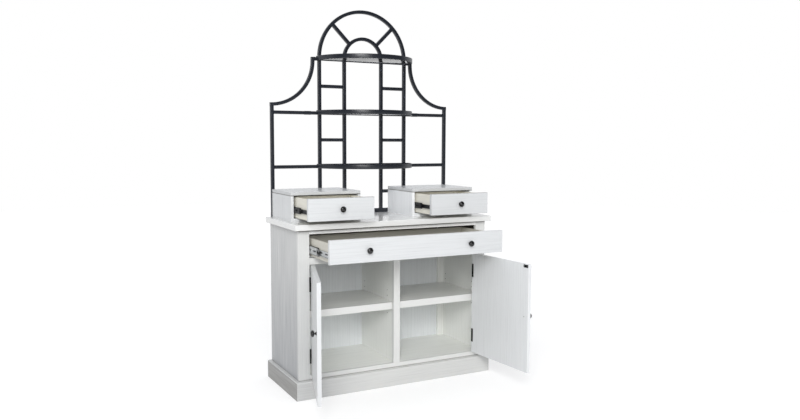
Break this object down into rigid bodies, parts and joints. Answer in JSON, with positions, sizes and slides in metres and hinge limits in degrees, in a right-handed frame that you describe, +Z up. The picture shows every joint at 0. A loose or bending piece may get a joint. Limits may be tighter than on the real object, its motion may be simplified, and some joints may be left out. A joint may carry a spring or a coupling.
{
  "type": "bakers rack",
  "caption": "Painted sideboard with doors, a wide drawer and two small drawer boxes, under a black steel hutch with a fan-light arch and bow-fronted glass shelves.",
  "frame": {"origin": "on the floor, under the middle of the cabinet top's width and depth", "axes": "+Z up, -Y to the front where the doors and drawers open, +X to the right of a person facing it"},
  "size_m": [1.2579, 0.9374, 2.0789],
  "materials": {
    "cream_paint": "satin antique-white paint, lightly brushed",
    "interior_paint": "matt off-white paint",
    "drawer_board": "matt pale board",
    "black_steel": "satin black",
    "black_hardware": "gloss black",
    "zinc_steel": "zinc plated",
    "black_plastic": "matt",
    "white_plastic": "matt",
    "glass": "clear, polished edge"
  },
  "bodies": {
    "cabinet": {"back_panel": "cream_paint", "cabinet_shelf_left": "cream_paint", "cabinet_shelf_right": "cream_paint", "centre_stile": "cream_paint", "door_catches": "white_plastic", "face_frame_rails": "cream_paint", "floor_panel": "cream_paint", "front_stiles": "cream_paint", "glass_shelf_lower": "glass", "glass_shelf_middle": "glass", "glass_shelf_upper": "glass", "hinge_frame_leaves": "black_hardware", "hutch_base_rail": "black_steel", "hutch_inner_arch": "black_steel", "hutch_outer_arch": "black_steel", "hutch_outer_posts": "black_steel", "hutch_rungs": "black_steel", "hutch_spokes": "black_steel", "hutch_wing_braces": "black_steel", "hutch_wing_rails": "black_steel", "left_box_case": "cream_paint", "left_box_top": "cream_paint", "partition": "cream_paint", "plinth_blocks": "interior_paint", "plinth_boards": "cream_paint", "rear_frame": "cream_paint", "right_box_case": "cream_paint", "right_box_top": "cream_paint", "shelf_pins": "zinc_steel", "shelf_rim_lower": "black_steel", "shelf_rim_middle": "black_steel", "shelf_rim_upper": "black_steel", "side_panel_left": "cream_paint", "side_panel_right": "cream_paint", "slide_cleats": "interior_paint", "small_slide_box_members": "black_hardware", "stretchers": "interior_paint", "tabletop": "cream_paint", "wide_slide_cabinet_members": "zinc_steel"},
    "wide_drawer": {"wide_drawer_front": "cream_paint", "wide_drawer_box": "drawer_board", "wide_drawer_knobs": "black_hardware", "wide_slide_drawer_members": "zinc_steel"},
    "wide_slide_middle": {"wide_slide_middle_members": "zinc_steel", "wide_slide_ball_cages": "black_plastic"},
    "left_drawer": {"left_drawer_front": "cream_paint", "left_drawer_box": "drawer_board", "left_drawer_knob_and_slides": "black_hardware"},
    "left_slide_middle": {"left_slide_middle_members": "black_hardware"},
    "right_drawer": {"right_drawer_front": "cream_paint", "right_drawer_box": "drawer_board", "right_drawer_knob_and_slides": "black_hardware"},
    "right_slide_middle": {"right_slide_middle_members": "black_hardware"},
    "left_door": {"left_door_panel": "cream_paint", "left_door_fittings": "black_hardware"},
    "right_door": {"right_door_panel": "cream_paint", "right_door_fittings": "black_hardware"}
  },
  "joints": [
    {"name": "wide_drawer_slide", "type": "slide", "parent": "cabinet", "child": "wide_drawer", "axis": [0, -1, 0], "range_m": [-0.2668, 0.0832]},
    {"name": "wide_slide_middle_slide", "type": "slide", "parent": "cabinet", "child": "wide_slide_middle", "axis": [0, -1, 0], "range_m": [-0.1334, 0.0416]},
    {"name": "left_drawer_slide", "type": "slide", "parent": "cabinet", "child": "left_drawer", "axis": [0, -1, 0], "range_m": [-0.2095, 0.0405]},
    {"name": "left_slide_middle_slide", "type": "slide", "parent": "cabinet", "child": "left_slide_middle", "axis": [0, -1, 0], "range_m": [-0.10475, 0.02025]},
    {"name": "right_drawer_slide", "type": "slide", "parent": "cabinet", "child": "right_drawer", "axis": [0, -1, 0], "range_m": [-0.189, 0.061]},
    {"name": "right_slide_middle_slide", "type": "slide", "parent": "cabinet", "child": "right_slide_middle", "axis": [0, -1, 0], "range_m": [-0.0945, 0.0305]},
    {"name": "left_door_hinge", "type": "hinge", "parent": "cabinet", "child": "left_door", "pos_m": [-0.504, -0.2137, 0.4085], "axis": [0, 0, -1], "range_deg": [-108, 67]},
    {"name": "right_door_hinge", "type": "hinge", "parent": "cabinet", "child": "right_door", "pos_m": [0.504, -0.2137, 0.4085], "axis": [0, 0, 1], "range_deg": [-94, 81]}
  ],
  "couplings": [
    {"joint": "wide_slide_middle_slide", "follows": "wide_drawer_slide", "ratio": 0.5},
    {"joint": "left_slide_middle_slide", "follows": "left_drawer_slide", "ratio": 0.5},
    {"joint": "right_slide_middle_slide", "follows": "right_drawer_slide", "ratio": 0.5}
  ]
}
